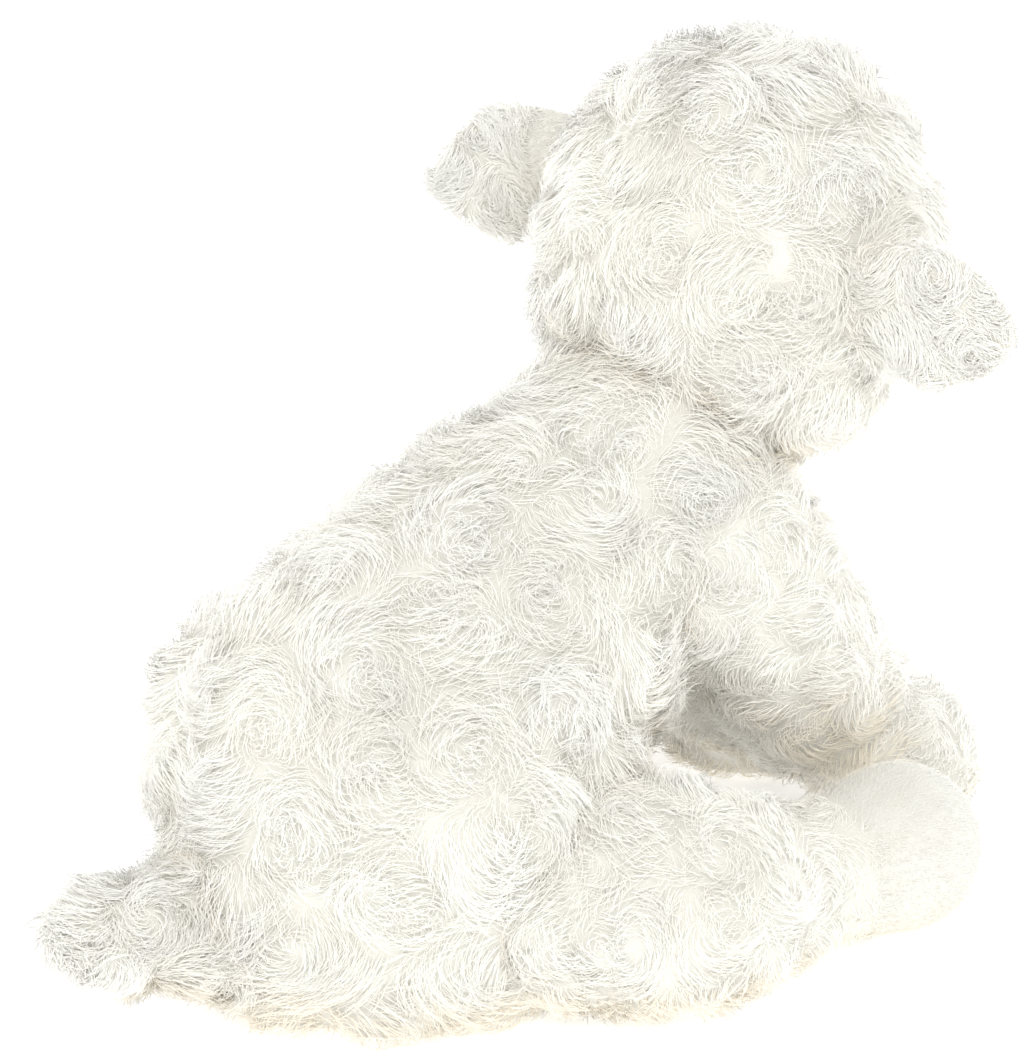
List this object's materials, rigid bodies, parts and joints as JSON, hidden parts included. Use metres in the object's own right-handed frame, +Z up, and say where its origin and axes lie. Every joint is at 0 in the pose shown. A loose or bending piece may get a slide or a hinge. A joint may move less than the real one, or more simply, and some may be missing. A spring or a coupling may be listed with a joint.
{
  "type": "plush lamb",
  "caption": "Seated stuffed lamb in curly cream-white plush, with a soft neck, ears that stand out to the sides, sewn-on legs and a short tail.",
  "frame": {"origin": "on the floor, under the middle of the toy's bounding box", "axes": "+Z up, -Y the way the lamb faces, +X to the lamb's own left"},
  "size_m": [0.2126, 0.3244, 0.2422],
  "materials": {
    "curly_plush": "long cream-white pile curled in rosettes",
    "smooth_plush": "short smooth cream pile",
    "fibre_stuffing": "loose white polyester fibre",
    "pellet_pouch": "plain woven pouch",
    "eye_plastic": "polished black",
    "washer_plastic": "plain white",
    "nose_thread": "satin stitches, soft brown"
  },
  "bodies": {
    "torso": {"body_cover": "curly_plush", "base_panel": "smooth_plush", "body_stuffing": "fibre_stuffing", "bean_bag": "pellet_pouch"},
    "neck": {"neck_stuffing": "fibre_stuffing"},
    "head": {"head_cover": "curly_plush", "face_panel": "smooth_plush", "head_stuffing": "fibre_stuffing", "nose": "nose_thread", "eye_left": "eye_plastic", "eye_washer_left": "washer_plastic", "eye_right": "eye_plastic", "eye_washer_right": "washer_plastic"},
    "ear_left": {"ear_back_left": "curly_plush", "ear_lining_left": "smooth_plush"},
    "ear_right": {"ear_back_right": "curly_plush", "ear_lining_right": "smooth_plush"},
    "front_leg_left": {"front_leg_left_cover": "curly_plush", "front_leg_left_stuffing": "fibre_stuffing"},
    "front_leg_right": {"front_leg_right_cover": "curly_plush", "front_leg_right_stuffing": "fibre_stuffing"},
    "hind_leg_left": {"hind_leg_left_cover": "curly_plush", "hind_leg_left_sole": "smooth_plush", "hind_leg_left_stuffing": "fibre_stuffing"},
    "hind_leg_right": {"hind_leg_right_cover": "curly_plush", "hind_leg_right_sole": "smooth_plush", "hind_leg_right_stuffing": "fibre_stuffing"},
    "tail": {"tail_cover": "curly_plush", "tail_stuffing": "fibre_stuffing"}
  },
  "joints": [
    {"name": "neck_turn", "type": "hinge", "parent": "torso", "child": "neck", "pos_m": [0, -0.053, 0.134], "axis": [0, -0.5746, 0.8184], "range_deg": [-25, 25], "stiffness_Nm_per_rad": 0.8},
    {"name": "head_nod", "type": "hinge", "parent": "neck", "child": "head", "pos_m": [0, -0.053, 0.134], "axis": [1, 0, 0], "range_deg": [-7, 10], "stiffness_Nm_per_rad": 1.5, "springref_deg": -1.15},
    {"name": "ear_left_flap", "type": "hinge", "parent": "head", "child": "ear_left", "pos_m": [0.051, -0.075, 0.1923], "axis": [-0.4022, 0.9101, 0.1], "range_deg": [-25, 25], "stiffness_Nm_per_rad": 0.02},
    {"name": "ear_right_flap", "type": "hinge", "parent": "head", "child": "ear_right", "pos_m": [-0.05222, -0.075, 0.17963], "axis": [-0.2067, 0.9784, -0.0031], "range_deg": [-25, 25], "stiffness_Nm_per_rad": 0.02},
    {"name": "front_leg_left_lift", "type": "hinge", "parent": "torso", "child": "front_leg_left", "pos_m": [0.031, -0.047, 0.105], "axis": [-1, 0, 0], "range_deg": [0, 20], "stiffness_Nm_per_rad": 0.8, "springref_deg": -6.88},
    {"name": "front_leg_right_lift", "type": "hinge", "parent": "torso", "child": "front_leg_right", "pos_m": [-0.031, -0.047, 0.105], "axis": [-1, 0, 0], "range_deg": [0, 20], "stiffness_Nm_per_rad": 0.8, "springref_deg": -6.88},
    {"name": "hind_leg_left_lift", "type": "hinge", "parent": "torso", "child": "hind_leg_left", "pos_m": [0.04, 0.037, 0.036], "axis": [-0.9397, -0.342, 0], "range_deg": [0, 18], "stiffness_Nm_per_rad": 0.8, "springref_deg": -6.88},
    {"name": "hind_leg_right_lift", "type": "hinge", "parent": "torso", "child": "hind_leg_right", "pos_m": [-0.04, 0.037, 0.036], "axis": [-0.9397, 0.342, 0], "range_deg": [0, 18], "stiffness_Nm_per_rad": 0.8, "springref_deg": -6.88},
    {"name": "tail_wag", "type": "hinge", "parent": "torso", "child": "tail", "pos_m": [0, 0.107, 0.029], "axis": [0, 0, 1], "range_deg": [-20, 20], "stiffness_Nm_per_rad": 0.03}
  ]
}
